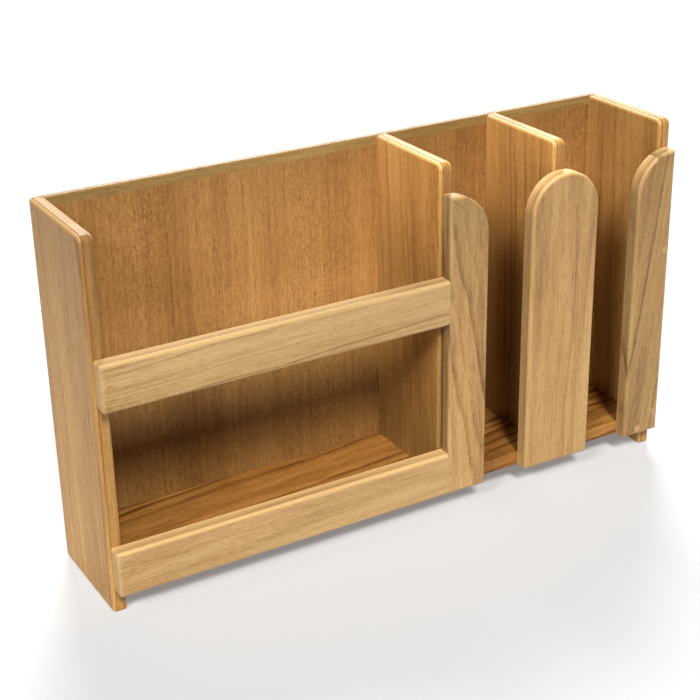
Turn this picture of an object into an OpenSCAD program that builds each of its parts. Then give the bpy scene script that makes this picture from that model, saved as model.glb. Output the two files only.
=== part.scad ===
// Three-compartment wooden magazine rack: one wide bay behind two rails and
// two narrow bays behind round-topped slats. Millimetres, front towards -Y,
// origin on the floor under the middle of the rack.

/* [Overall size] */
// Width across the outer faces of the two ends
overall_w = 535; // [480:1:660]
// Depth from the front of the slats to the back
overall_d = 114; // [90:1:150]
// Height of the ends, dividers and back
overall_h = 310; // [255:1:380]

/* [Boards] */
// Thickness of the ends, dividers and shelf
board_t = 12; // [10:0.5:16]
// Thickness of the rails and slats
front_t = 12; // [10:0.5:16]
// Thickness of the back
back_t = 6; // [4:0.5:8]
// Height of the solid wood lipping on top of the back
lipping_h = 8; // [4:0.5:20]
// Clear height under the shelf
foot_h = 19; // [10:1:40]
// Width of each of the two narrow bays
narrow_bay_w = 99.5; // [80:0.5:125]

/* [Front] */
// Height of the rails
rail_h = 39; // [30:1:55]
// Height of the upper rail's lower edge above the floor
upper_rail_z = 176; // [125:1:195]
// How far rails and slats stand in from the faces of the boards behind
front_inset = 2.5; // [1:0.5:4]
// Width of the left and right slats
side_slat_w = 38; // [30:1:46]
// Width of the middle slat
middle_slat_w = 68; // [40:1:80]
// How far the slats stop below the top of the ends
slat_drop = 25; // [10:1:40]

/* [Edges] */
// Radius worked along the exposed edges
edge_r = 3; // [1:0.5:4]
// Radius of the upper front corners of ends and dividers
corner_r = 6; // [4:0.5:12]
// Radius of the other corners of ends, rails and slats
small_r = 2; // [0.5:0.5:4]
// Radius that takes the sharpness off the shelf, lipping and feet
ease_r = 1; // [0.5:0.25:1.5]

/* [Joints] */
// Depth of the housings that hold the shelf in the ends
housing_depth = 4; // [2:0.5:6]
// Width of the rebates that hold the back in the ends
rebate_w = 5; // [3:0.5:6]
// Diameter of the dowels between rails and left slat
dowel_d = 6; // [5:0.5:7]
// Length of those dowels
dowel_len = 30; // [24:1:40]
// Distance between the two dowels of one rail
dowel_pitch = 22; // [18:1:24]
// Room for glue at each end of a dowel
dowel_room = 1; // [0.5:0.5:2]

/* [Screws, plugs and pins] */
// Diameter of the wood screws
screw_d = 3; // [2.5:0.5:4]
// Length of the wood screws
screw_len = 25; // [20:1:30]
// Diameter of the screw heads
screw_head_d = 6; // [5:0.5:7]
// Diameter of the wooden plugs over the screws
plug_d = 7; // [6.5:0.5:9]
// Depth of the plugs
plug_depth = 5; // [3:0.5:6]
// Distance of a rail's screw from the end of the rail
rail_screw_inset = 6.5; // [6:0.25:7]
// Distance of a side slat's screws from its outer edge
slat_screw_inset = 5; // [4.5:0.5:7]
// Distance of the right slat's shelf screw from its inner edge
shelf_edge_screw_inset = 15; // [8:1:22]
// Distance of the screws under the shelf from its front and rear edges
under_screw_inset = 22; // [14:1:30]
// Diameter of the panel pins in the back
pin_d = 1.4; // [1:0.1:2]
// Length of the panel pins
pin_len = 20; // [14:1:25]
// Diameter of the panel pins' heads
pin_head_d = 2.6; // [2:0.1:3.2]
// Distance of the first and last pin of a row from the ends of the row
pin_end = 25; // [12:1:40]
// Number of pins along each upright
pins_up = 4; // [2:1:6]
// Number of pins along the shelf in the wide bay
pins_along = 4; // [2:1:6]

/* [Hidden] */
$fn = 48;
over = 1;                                        // how far a cut runs past a face

// Planes across the rack, from left to right
x_left = -overall_w / 2;
x_right = overall_w / 2;
x_left_in = x_left + board_t;
x_right_in = x_right - board_t;
x_right_divider = x_right_in - narrow_bay_w - board_t;
x_left_divider = x_right_divider - narrow_bay_w - board_t;

// Planes from front to back
y_face = -overall_d / 2;                         // front of rails and slats
y_panel = y_face + front_t;                      // front edges of ends and dividers
y_rear = overall_d / 2;
y_back = y_rear - back_t;                        // front of the back
panel_d = y_rear - y_panel;
bay_d = y_back - y_panel;

// Planes from the floor up
z_floor = foot_h + board_t;                      // top of the shelf
z_slat_top = overall_h - slat_drop;
z_lipping = overall_h - lipping_h;
z_screws = [foot_h + rail_h / 2, upper_rail_z + rail_h / 2];

// Left edges of the slats
x_left_slat = x_left_divider + front_inset;
x_middle_slat = x_right_divider + board_t / 2 - middle_slat_w / 2;
x_right_slat = x_right - front_inset - side_slat_w;
x_rails = x_left + front_inset;

// Screws through the front boards, as [x, z]
rail_screws = [for (z = z_screws) [x_rails + rail_screw_inset, z]];
left_slat_screws = [for (z = z_screws) [x_left_slat + slat_screw_inset, z]];
middle_slat_screws = [for (z = z_screws) [x_middle_slat + middle_slat_w / 2, z]];
edge_screws = [for (z = z_screws) [x_right_slat + side_slat_w - slat_screw_inset, z]];
shelf_edge_screw = [x_right_slat + shelf_edge_screw_inset, foot_h + board_t / 2];
right_slat_screws = concat(edge_screws, [shelf_edge_screw]);
front_screw_places = concat(
    rail_screws, left_slat_screws, middle_slat_screws, right_slat_screws);

// Screws up through the shelf, as [x, y]
under_screws = [
    for (x = [x_left_divider, x_right_divider])
        for (y = [y_panel + under_screw_inset, y_back - under_screw_inset])
            [x + board_t / 2, y]
];

// Panel pins in the back, as [x, z]
pin_step = (overall_h - z_floor - 2 * pin_end) / (pins_up - 1);
pin_heights = [for (i = [0:pins_up - 1]) z_floor + pin_end + i * pin_step];
upright_pin_x = [
    x_left_in - rebate_w / 2, x_left_divider + board_t / 2,
    x_right_divider + board_t / 2, x_right_in + rebate_w / 2
];
wide_bay_w = x_left_divider - x_left_in;
shelf_pin_step = (wide_bay_w - 2 * pin_end) / (pins_along - 1);
shelf_pin_x = concat(
    [for (i = [0:pins_along - 1]) x_left_in + pin_end + i * shelf_pin_step],
    [x_right_divider - narrow_bay_w / 2, x_right_divider + board_t + narrow_bay_w / 2]);
pins = concat(
    [for (x = upright_pin_x) for (z = pin_heights) [x, z]],
    [for (x = shelf_pin_x) [x, foot_h + board_t / 2]]);

// Colours
teak_pale = [0.80, 0.62, 0.40];
teak_mid = [0.74, 0.54, 0.32];
teak_dark = [0.55, 0.36, 0.18];
teak_veneer = [0.60, 0.42, 0.24];
plug_colour = [0.72, 0.53, 0.34];
dowel_colour = [0.85, 0.72, 0.52];
brass = [0.78, 0.62, 0.30];
steel = [0.62, 0.62, 0.60];

// ---- Shapes that repeat ----

// Rectangle from the origin with a radius at each corner, given as
// [lower left, lower right, upper right, upper left]; 0 leaves it square
module plate(w, h, radii) {
    corners = [[0, 0], [w, 0], [w, h], [0, h]];
    difference() {
        square([w, h]);
        for (i = [0:3])
            if (radii[i] > 0)
                translate(corners[i]) rotate(i * 90) spandrel(radii[i]);
    }
}

// What a rounded corner at the origin takes away
module spandrel(r) {
    difference() {
        translate([-over, -over]) square(r + over);
        translate([r, r]) circle(r);
    }
}

// Board from the origin whose plan, front view and side view each have
// rounded corners
module board(size, plan = [0, 0, 0, 0], front = [0, 0, 0, 0], side = [0, 0, 0, 0]) {
    intersection() {
        linear_extrude(size.z) plate(size.x, size.y, plan);
        translate([0, size.y, 0]) rotate([90, 0, 0])
            linear_extrude(size.y) plate(size.x, size.z, front);
        rotate([90, 0, 90]) linear_extrude(size.x) plate(size.y, size.z, side);
    }
}

// Screw pointing along +Z with its head's top at the origin
module screw_body() {
    head_h = (screw_head_d - screw_d) / 2;
    tip = screw_d * 1.5;
    rotate_extrude() polygon([
        [0, 0], [screw_head_d / 2, 0], [screw_d / 2, head_h],
        [screw_d / 2, screw_len - tip], [0, screw_len]
    ]);
}

// Wood screw with a cross recess
module wood_screw() {
    recess_w = screw_head_d / 6;
    recess_len = screw_head_d * 0.55;
    recess_depth = 1.2;
    difference() {
        screw_body();
        for (a = [0, 90])
            rotate(a) translate([-recess_len / 2, -recess_w / 2, -over])
                cube([recess_len, recess_w, recess_depth + over]);
    }
}

// Turns a shape that points along +Z to point into the rack from the front
module at_front(x, y, z) {
    translate([x, y, z]) rotate([-90, 0, 0]) children();
}

// Plug hole and screw hole through a front board into the board behind
module front_screw_hole(place) {
    at_front(place.x, y_face - over, place[1]) cylinder(d = plug_d, h = plug_depth + over);
    at_front(place.x, y_face + plug_depth, place[1]) screw_body();
}

module front_screw_holes(places) {
    for (p = places) front_screw_hole(p);
}

// Panel pin pointing along +Z with the top of its head at the origin
module panel_pin() {
    head_t = 0.8;
    rotate_extrude() polygon([
        [0, 0], [pin_head_d / 2, 0], [pin_head_d / 2, head_t], [pin_d / 2, head_t],
        [pin_d / 2, pin_len - pin_d], [0, pin_len]
    ]);
}

module back_pin(place) {
    translate([place.x, y_rear, place[1]]) rotate([90, 0, 0]) panel_pin();
}

module under_screw(place) {
    translate([place.x, place.y, foot_h]) children();
}

// Dowels of one rail, or their holes with room for glue at each end
module dowels(rail_z, room) {
    for (side = [-1, 1])
        translate([x_left_slat - dowel_len / 2 - room, y_face + front_t / 2,
                   rail_z + rail_h / 2 + side * dowel_pitch / 2])
            rotate([0, 90, 0]) cylinder(d = dowel_d, h = dowel_len + 2 * room);
}

// ---- Carcass ----

// End with its inner face towards +X, its outer face at x = 0
module end_board() {
    difference() {
        board([board_t, panel_d, overall_h],
              plan = [edge_r, edge_r, 0, edge_r],
              front = [ease_r, ease_r, edge_r, edge_r],
              side = [small_r, small_r, small_r, corner_r]);
        translate([board_t - housing_depth, -over, foot_h])
            cube([housing_depth + over, panel_d - back_t + over, board_t]);
        translate([board_t - rebate_w, panel_d - back_t, foot_h])
            cube([rebate_w + over, back_t + over, overall_h]);
    }
}

module left_end() {
    color(teak_mid) difference() {
        translate([x_left, y_panel, 0]) end_board();
        front_screw_holes(rail_screws);
        for (z = pin_heights) back_pin([upright_pin_x[0], z]);
    }
}

module right_end() {
    color(teak_mid) difference() {
        translate([x_right, y_panel, 0]) mirror([1, 0, 0]) end_board();
        front_screw_holes(edge_screws);
        for (z = pin_heights) back_pin([upright_pin_x[3], z]);
    }
}

module divider(x, screws) {
    color(teak_mid) difference() {
        translate([x, y_panel, z_floor])
            board([board_t, bay_d, overall_h - z_floor],
                  plan = [edge_r, edge_r, 0, 0],
                  front = [0, 0, edge_r, edge_r],
                  side = [0, 0, 0, corner_r]);
        front_screw_holes(screws);
        for (p = under_screws) under_screw(p) screw_body();
        for (z = pin_heights) back_pin([x + board_t / 2, z]);
    }
}

module left_divider() {
    divider(x_left_divider, left_slat_screws);
}

module right_divider() {
    divider(x_right_divider, middle_slat_screws);
}

module bottom_shelf() {
    shelf_w = x_right_in - x_left_in + 2 * housing_depth;
    color(teak_dark) difference() {
        translate([x_left_in - housing_depth, y_panel, foot_h])
            board([shelf_w, bay_d, board_t], side = [ease_r, 0, 0, ease_r]);
        front_screw_holes([shelf_edge_screw]);
        for (p = under_screws) under_screw(p) screw_body();
        for (x = shelf_pin_x) back_pin([x, foot_h + board_t / 2]);
    }
}

module back_strip(z, h, radii) {
    translate([x_left_in - rebate_w, y_back, z])
        board([x_right_in - x_left_in + 2 * rebate_w, back_t, h], side = radii);
}

module back_panel() {
    color(teak_veneer) difference() {
        back_strip(foot_h, z_lipping - foot_h, [0, 0, 0, 0]);
        for (p = pins) back_pin(p);
    }
}

module back_lipping() {
    color(teak_pale) back_strip(z_lipping, lipping_h, [0, 0, ease_r, ease_r]);
}

// ---- Front ----

module rail(z) {
    color(teak_pale) difference() {
        translate([x_rails, y_face, z])
            board([x_left_slat - x_rails, front_t, rail_h],
                  plan = [edge_r, 0, 0, 0],
                  front = [small_r, 0, 0, small_r],
                  side = [edge_r, 0, 0, edge_r]);
        front_screw_holes(rail_screws);
        dowels(z, dowel_room);
    }
}

module upper_rail() {
    rail(upper_rail_z);
}

module lower_rail() {
    rail(foot_h);
}

// Straight lower part of a slat, from its lower left front corner
module slat_body(w, h, plan) {
    board([w, front_t, h], plan = plan, front = [small_r, small_r, 0, 0],
          side = [edge_r, 0, 0, 0]);
}

// Round head of a slat, swept about its centre, which is at the origin
module slat_head(r, sweep) {
    translate([0, front_t, 0]) rotate([90, 0, 0])
        rotate_extrude(angle = sweep) plate(r, front_t, [0, 0, edge_r, 0]);
}

// Slat with a quarter-round head: its tall edge is on the left
module side_slat(plan) {
    head_r = side_slat_w - edge_r;
    slat_h = z_slat_top - foot_h;
    slat_body(side_slat_w, slat_h - head_r, plan);
    translate([edge_r, 0, slat_h - head_r]) slat_head(head_r, 90);
    translate([0, 0, slat_h - head_r])
        linear_extrude(head_r) plate(edge_r, front_t, [plan[0], 0, 0, 0]);
}

// The rails meet the left slat's tall edge, so it is rounded only between
// and above them
module left_slat() {
    free_spans = [
        [foot_h + rail_h, upper_rail_z],
        [upper_rail_z + rail_h, z_slat_top + over]
    ];
    color(teak_mid) difference() {
        translate([x_left_slat, y_face, foot_h]) side_slat([0, edge_r, 0, 0]);
        for (span = free_spans)
            translate([x_left_slat, y_face, span[0]])
                linear_extrude(span[1] - span[0]) spandrel(edge_r);
        front_screw_holes(left_slat_screws);
        for (z = [foot_h, upper_rail_z]) dowels(z, dowel_room);
    }
}

module middle_slat() {
    head_r = middle_slat_w / 2;
    body_h = z_slat_top - foot_h - head_r;
    color(teak_mid) difference() {
        translate([x_middle_slat, y_face, foot_h]) {
            slat_body(middle_slat_w, body_h, [edge_r, edge_r, 0, 0]);
            translate([head_r, 0, body_h]) slat_head(head_r, 180);
        }
        front_screw_holes(middle_slat_screws);
    }
}

module right_slat_blank() {
    translate([x_right_slat + side_slat_w, y_face, foot_h])
        mirror([1, 0, 0]) side_slat([edge_r, edge_r, 0, 0]);
}

module right_slat() {
    color(teak_mid) difference() {
        right_slat_blank();
        front_screw_holes(right_slat_screws);
    }
}

// ---- Fixings ----

module plugs(places) {
    for (p = places)
        at_front(p.x, y_face, p[1]) cylinder(d = plug_d, h = plug_depth);
}

// The right slat's plugs reach its rounded edge and are trimmed to it
module front_plugs() {
    color(plug_colour) {
        plugs(concat(rail_screws, left_slat_screws, middle_slat_screws));
        intersection() {
            plugs(right_slat_screws);
            right_slat_blank();
        }
    }
}

module front_screws() {
    color(brass)
        for (p = front_screw_places)
            at_front(p.x, y_face + plug_depth, p[1]) wood_screw();
}

module rail_dowels() {
    color(dowel_colour)
        for (z = [foot_h, upper_rail_z]) dowels(z, 0);
}

module shelf_screws() {
    color(brass)
        for (p = under_screws) under_screw(p) wood_screw();
}

module back_pins() {
    color(steel)
        for (p = pins) back_pin(p);
}

left_end();
right_end();
left_divider();
right_divider();
bottom_shelf();
back_panel();
back_lipping();
upper_rail();
lower_rail();
left_slat();
middle_slat();
right_slat();
front_plugs();
front_screws();
rail_dowels();
shelf_screws();
back_pins();
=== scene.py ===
"""Teak magazine rack with three bays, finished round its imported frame.

Metres, front towards -Y, origin on the floor under the middle of the rack.
"""

import math

import bmesh
import bpy
import numpy as np
from mathutils import Matrix, Vector


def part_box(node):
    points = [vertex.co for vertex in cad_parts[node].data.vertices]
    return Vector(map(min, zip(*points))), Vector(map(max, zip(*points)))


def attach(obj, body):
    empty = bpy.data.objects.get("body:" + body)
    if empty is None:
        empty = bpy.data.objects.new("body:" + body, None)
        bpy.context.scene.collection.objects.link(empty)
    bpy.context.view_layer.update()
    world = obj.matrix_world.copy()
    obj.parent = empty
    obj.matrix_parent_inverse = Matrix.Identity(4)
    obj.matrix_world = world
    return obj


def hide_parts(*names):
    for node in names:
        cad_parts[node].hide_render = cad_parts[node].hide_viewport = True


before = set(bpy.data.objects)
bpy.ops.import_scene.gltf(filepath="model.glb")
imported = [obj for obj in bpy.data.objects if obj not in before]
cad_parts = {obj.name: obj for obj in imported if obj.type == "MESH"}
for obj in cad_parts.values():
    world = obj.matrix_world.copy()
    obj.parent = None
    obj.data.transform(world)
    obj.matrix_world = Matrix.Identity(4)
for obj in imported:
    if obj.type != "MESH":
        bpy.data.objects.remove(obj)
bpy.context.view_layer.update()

# ---- Sizes ----

MM = 0.001
EDGE_R = 3 * MM             # roundover along the exposed arrises
CORNER_R = 6 * MM           # upper front corners of ends and dividers
SMALL_R = 2 * MM            # other corners of ends, rails and slats, and round the feet
EASE_R = 1 * MM             # shelf and lipping
QUIRK = 0.35 * MM           # step that the router bit leaves beside the narrow faces
RUN_OUT = 6 * MM            # length over which a roundover fades out at a joint
SUPPORT = 0.4 * MM          # flat rim beside a curve, which keeps the shading of the flat true
HOUSING_DEPTH = 4 * MM      # housings for the shelf in the ends
REBATE_W = 5 * MM           # rebates for the back in the ends
OVER = 1 * MM               # how far a cutter runs past a face
SLIP = 0.02 * MM            # how far a point may be off and still count as on a line
ARC_STEP = 1.1 * MM         # length of one step round a corner
CURVE_STEPS = 7             # faces across a roundover
TURNED_SIDES = 24           # sides of a drilled hole
MERGE = 0.002 * MM          # points closer than this are one
SLIVER = 0.001 * MM         # edges shorter than this are taken out
CUT_MERGE = 0.005 * MM      # and the same two after the cutters
CUT_SLIVER = 0.002 * MM
SHARP_ANGLE = math.radians(32)

PLUG_D = 7 * MM
PLUG_DEPTH = 5 * MM
SCREW_D = 3 * MM
SCREW_LEN = 25 * MM
SCREW_HEAD_D = 6 * MM
DOWEL_D = 6 * MM
DOWEL_LEN = 30 * MM
DOWEL_PITCH = 22 * MM
DOWEL_ROOM = 1 * MM
PIN_D = 1.4 * MM
PIN_LEN = 20 * MM
PIN_HEAD_D = 2.6 * MM
PIN_HEAD_T = 0.8 * MM
RAIL_SCREW_INSET = 6.5 * MM
SLAT_SCREW_INSET = 5 * MM
SHELF_EDGE_SCREW_INSET = 15 * MM
UNDER_SCREW_INSET = 22 * MM
PIN_END = 25 * MM
PINS_UP = 4
PINS_ALONG = 4

BOX = {name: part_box(name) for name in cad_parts}


def low(node):
    return BOX[node][0]


def high(node):
    return BOX[node][1]


def middle(node):
    return (BOX[node][0] + BOX[node][1]) / 2


y_face = low("middle_slat").y
y_panel = low("left_end").y
y_back = low("back_panel").y
y_rear = high("back_panel").y
z_foot = low("bottom_shelf").z
z_floor = high("bottom_shelf").z
top = high("left_end").z

# ---- Node graphs ----


class Wire:
    """One output of a node. Sums and products on it add Math nodes."""

    def __init__(self, graph, socket):
        self.graph = graph
        self.socket = socket

    def output(self, name):
        return Wire(self.graph, self.socket.node.outputs[name])

    def work(self, operation, *values, clamp=False):
        settings = {"operation": operation, "use_clamp": clamp}
        return self.graph.add("ShaderNodeMath", settings, values)

    def __add__(self, other):
        return self.work("ADD", self, other)

    def __sub__(self, other):
        return self.work("SUBTRACT", self, other)

    def __rsub__(self, other):
        return self.work("SUBTRACT", other, self)

    def __mul__(self, other):
        return self.work("MULTIPLY", self, other)

    def __truediv__(self, other):
        return self.work("DIVIDE", self, other)

    __radd__ = __add__


class Graph:
    """Adds nodes to one node tree."""

    def __init__(self, tree):
        self.tree = tree
        tree.nodes.clear()

    def add(self, kind, settings=None, sockets=()):
        """A new node's first output. Settings are set first. Sockets are the values or wires of its
        inputs, in order or by name."""
        node = self.tree.nodes.new(kind)
        for name, value in (settings or {}).items():
            if name == "stops":
                self.set_stops(node.color_ramp, value)
            else:
                setattr(node, name, value)
        if isinstance(sockets, dict):
            pairs = [(node.inputs[name], value) for name, value in sockets.items()]
        else:
            pairs = zip([s for s in node.inputs if s.enabled], sockets)
        for socket, value in pairs:
            if isinstance(value, Wire):
                self.tree.links.new(value.socket, socket)
            elif value is not None:
                socket.default_value = value
        outputs = [s for s in node.outputs if s.enabled]
        return Wire(self, outputs[0]) if outputs else None

    @staticmethod
    def set_stops(ramp, stops):
        while len(ramp.elements) < len(stops):
            ramp.elements.new(1.0)
        for element, (position, colour) in zip(ramp.elements, stops):
            element.position = position
            element.color = colour


def paint(r, g, b):
    """A colour given as on a paint chart, 0 to 255, in linear light."""
    linear = [((c / 255 + 0.055) / 1.055) ** 2.4 for c in (r, g, b)]
    return (*linear, 1.0)


def grey(value):
    return (value, value, value, 1.0)


# ---- Materials ----

SATIN = 0.22                        # oiled wood shines less than its index says
WOOD_IOR = 1.45
STEP_LINE = paint(98, 50, 20)          # dark line painted on the step that the router bit cut
EDGE_HIGHLIGHT = paint(221, 181, 119)       # painted highlight on the upper arrises, where the light from above catches them

# Widths across the grain of what shows in solid teak
BEND_W = 45 * MM                    # slow bends of the rings, and how far they reach
BEND = 16 * MM
JAG_W = 7 * MM                      # quick breaks in the rings
BAND_W = 26 * MM
STREAK_W = 6.5 * MM
FIBRE_W = 1.5 * MM
PORE_W = 0.9 * MM
GRAIN_W = 1.4 * MM
VEIN_W = 9 * MM
VEIN_DRIFT = 6 * MM

# and in veneer
PATCH_W = 55 * MM                   # patches where the mottle is strong
SLICE_BAND_W = 36 * MM
SLICE_LINE_W = 3 * MM
SLICE_FIBRE_W = 1.4 * MM
SLICE_PORE_W = 1.1 * MM
MOTTLE_W = 1.8 * MM


class WoodGraph(Graph):
    """Shader tree of a piece of wood, with the patterns that its finishes share."""

    def __init__(self, name):
        self.material = bpy.data.materials.new(name)
        self.material.use_nodes = True
        super().__init__(self.material.node_tree)

    def attribute(self, name, output):
        return self.add("ShaderNodeAttribute", {"attribute_name": name}).output(output)

    def stretch(self, place, along):
        """Place with its third axis, the grain, scaled."""
        return self.add("ShaderNodeVectorMath", {"operation": "MULTIPLY"}, [place, (1, 1, along)])

    def noise(self, place, size, detail=2.0, roughness=0.5):
        """Noise around 0, mostly within -0.5 and 0.5, whose patches are about size metres across."""
        sockets = {"Vector": place, "Scale": 1 / size, "Detail": detail, "Roughness": roughness}
        return self.add("ShaderNodeTexNoise", {}, sockets).output("Fac") - 0.5

    def shaken(self, place, along, size, reach):
        """Place moved about by noise of that size, up to half of reach each way."""
        sockets = {"Vector": self.stretch(place, along), "Scale": 1 / size, "Detail": 2.0}
        shake = self.add("ShaderNodeTexNoise", {}, sockets).output("Color")
        shake = self.add("ShaderNodeVectorMath", {"operation": "SUBTRACT"}, [shake, (0.5, 0.5, 0.5)])
        sockets = [shake, (reach, reach, reach), place]
        return self.add("ShaderNodeVectorMath", {"operation": "MULTIPLY_ADD"}, sockets)

    def radius(self, place):
        """Distance from the log's axis."""
        across = self.add("ShaderNodeVectorMath", {"operation": "MULTIPLY"}, [place, (1, 1, 0)])
        return self.add("ShaderNodeVectorMath", {"operation": "LENGTH"}, [across]).output("Value")

    def step(self, value, start, end):
        """0 below start, 1 above end, smooth between."""
        sockets = {"Value": value, "From Min": start, "From Max": end}
        return self.add("ShaderNodeMapRange", {"interpolation_type": "SMOOTHSTEP"}, sockets)

    def mix(self, factor, a, b, blend="MIX"):
        settings = {"data_type": "RGBA", "blend_type": blend, "clamp_factor": True}
        return self.add("ShaderNodeMix", settings, [factor, a, b])

    def lit(self, colour):
        """The colour scaled by the light attribute: painted light and shade along the board."""
        sockets = {"Vector": colour, "Scale": self.attribute("light", "Fac")}
        return self.add("ShaderNodeVectorMath", {"operation": "SCALE"}, sockets)

    def bump(self, height, depth):
        sockets = {"Height": height, "Strength": 1.0, "Distance": depth}
        return self.add("ShaderNodeBump", {}, sockets)

    def finish(self, colour, roughness, normal):
        sockets = {
            "Base Color": colour, "Roughness": roughness, "Normal": normal,
            "IOR": WOOD_IOR, "Specular IOR Level": SATIN,
        }
        shader = self.add("ShaderNodeBsdfPrincipled", {}, sockets)
        self.add("ShaderNodeOutputMaterial", {}, [shader])
        return self.material


def teak(name, dark, mid, pale, streak, ring, jag=1.5 * MM):
    """Solid teak. Growth rings lie round the log's own axis, so the figure runs on over the arrises."""
    wood = WoodGraph(name)
    place = wood.attribute("log", "Vector")
    arris = wood.attribute("arris", "Fac")
    end_grain = wood.attribute("end_grain", "Fac")
    figure = wood.attribute("figure", "Fac") * (1 - end_grain * 0.9)

    # Growth rings, bent by slow noise and jagged by quick noise, each with its own strength
    bent = wood.shaken(place, 0.22, BEND_W, BEND)
    radius = wood.radius(wood.shaken(bent, 0.10, JAG_W, jag))
    year = radius * (1 / ring)
    part = year.work("FRACT", year)
    sockets = {"W": year.work("FLOOR", year)}
    chance = wood.add("ShaderNodeTexWhiteNoise", {"noise_dimensions": "1D"}, sockets).output("Value")
    line = wood.step(part, 0.45, 0.93) * wood.step(1 - part, 0.0, 0.10)
    growth = (part * 0.3 + line * 0.7) * (0.10 + chance * chance * 1.2)

    # Slow bands, streaks, fibres, pores and a fine grain, drawn out along the wood
    band = wood.noise(wood.stretch(place, 0.09), BAND_W, detail=1.0)
    streaky = wood.noise(wood.stretch(place, 0.05), STREAK_W)
    fibre = wood.noise(wood.stretch(place, 0.045), FIBRE_W, detail=3.0, roughness=0.6)
    pores = wood.step(wood.noise(wood.stretch(place, 0.12), PORE_W, detail=1.0), 0.02, 0.22)
    grain = wood.noise(wood.stretch(place, 0.35), GRAIN_W, roughness=0.6)

    tone = 0.52 + band * 0.6 + streaky * 0.5 + fibre * 0.55 + grain * 0.34 - growth * figure
    stops = [(0.10, dark), (0.48, mid), (0.86, pale)]
    colour = wood.add("ShaderNodeValToRGB", {"stops": stops}, {"Fac": tone})

    # Pinkish brown heartwood streaks that follow the rings
    vein_place = wood.add("ShaderNodeCombineXYZ", {}, [radius, band * VEIN_DRIFT, 0.0])
    vein = wood.noise(vein_place, VEIN_W)
    colour = wood.mix(wood.step(vein, 0.02, 0.34) * figure, colour, streak)
    colour = wood.mix(pores * (1 - end_grain) * 0.24, colour, dark, blend="MULTIPLY")
    # Arrises paler, partly wear and partly painted highlight; end grain a little paler, painted light as
    # on the brightly lit tops
    colour = wood.mix(arris * 0.3 + end_grain * 0.1, colour, pale)
    # Painted highlight along the arrises that face up
    colour = wood.mix(wood.attribute("crest", "Fac") * 0.7, colour, EDGE_HIGHLIGHT)
    # Darker line painted on the router step beside the narrow faces
    colour = wood.mix(wood.attribute("scorch", "Fac") * 0.65, colour, STEP_LINE)
    # Painted light and shade: the colour scaled by the board's light attribute
    colour = wood.lit(colour)

    roughness = 0.48 + pores * 0.14 + fibre * 0.12 - arris * 0.12
    height = fibre * 0.5 + streaky * 0.35 - pores * 0.9
    return wood.finish(colour, roughness, wood.bump(height, 0.06 * MM))


def veneer(name, dark, mid, pale):
    """Sliced teak veneer: short pores, a grainy mottle and soft upright bands."""
    wood = WoodGraph(name)
    place = wood.attribute("log", "Vector")
    band = wood.noise(wood.stretch(place, 0.10), SLICE_BAND_W, detail=1.0)
    line = wood.noise(wood.stretch(place, 0.02), SLICE_LINE_W, detail=3.0, roughness=0.6)
    fibre = wood.noise(wood.stretch(place, 0.12), SLICE_FIBRE_W, roughness=0.6)
    mottle = wood.noise(wood.stretch(place, 0.6), MOTTLE_W, roughness=0.6)
    pores = wood.step(wood.noise(wood.stretch(place, 0.2), SLICE_PORE_W, detail=1.0), 0.04, 0.24)
    figure = wood.step(wood.noise(wood.stretch(place, 0.22), PATCH_W, detail=1.0), -0.10, 0.16)

    tone = 0.52 + band * 0.55 + line * 0.45 + fibre * 0.55 + mottle * (0.3 + figure * 0.5)
    stops = [(0.1, dark), (0.5, mid), (0.9, pale)]
    colour = wood.add("ShaderNodeValToRGB", {"stops": stops}, {"Fac": tone})
    colour = wood.mix(pores * 0.22, colour, dark, blend="MULTIPLY")
    # Painted light and shade: the colour scaled by the board's light attribute
    colour = wood.lit(colour)
    roughness = 0.52 + pores * 0.12 + mottle * 0.10
    height = fibre * 0.4 + mottle * 0.3 - pores * 0.8
    return wood.finish(colour, roughness, wood.bump(height, 0.05 * MM))


def plug_wood(name, mid, pale, ring):
    """Plug: its own tone, a thin glue line round its rim and grain across its end."""
    wood = WoodGraph(name)
    place = wood.add("ShaderNodeTexCoord").output("Object")
    tone = wood.attribute("tone", "Fac")
    rim = wood.attribute("rim", "Fac")
    fibre = wood.noise(wood.stretch(place, 0.08), 0.7 * MM, detail=3.0)
    colour = wood.mix(tone * 0.8 + fibre * 0.9, mid, pale)
    colour = wood.mix(wood.step(rim, 0.84, 0.98) * 0.4, colour, ring)
    roughness = 0.5 + fibre * 0.2
    return wood.finish(colour, roughness, wood.bump(fibre, 0.06 * MM))


def plain_wood(name, mid, pale):
    """Beech dowel with its flecks."""
    wood = WoodGraph(name)
    place = wood.add("ShaderNodeTexCoord").output("Object")
    fleck = wood.noise(place, 1.2 * MM, detail=3.0)
    colour = wood.mix(fleck + 0.5, mid, pale)
    return wood.finish(colour, 0.6 + fleck * 0.2, wood.bump(fleck, 0.05 * MM))


def bright_metal(name, base, worn, roughness):
    """Brass or steel, turned, with dull patches."""
    metal = WoodGraph(name)
    place = metal.add("ShaderNodeTexCoord").output("Object")
    patch = metal.noise(place, 2.5 * MM, detail=3.0)
    scratch = metal.noise(metal.stretch(place, 8.0), 0.5 * MM)
    colour = metal.mix(metal.step(patch, -0.05, 0.25), base, worn)
    normal = metal.bump(scratch, 0.02 * MM)
    sockets = {
        "Base Color": colour, "Metallic": 1.0, "Normal": normal,
        "Roughness": roughness + patch * 0.25 + scratch * 0.1,
    }
    shader = metal.add("ShaderNodeBsdfPrincipled", {}, sockets)
    metal.add("ShaderNodeOutputMaterial", {}, [shader])
    return metal.material


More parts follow.
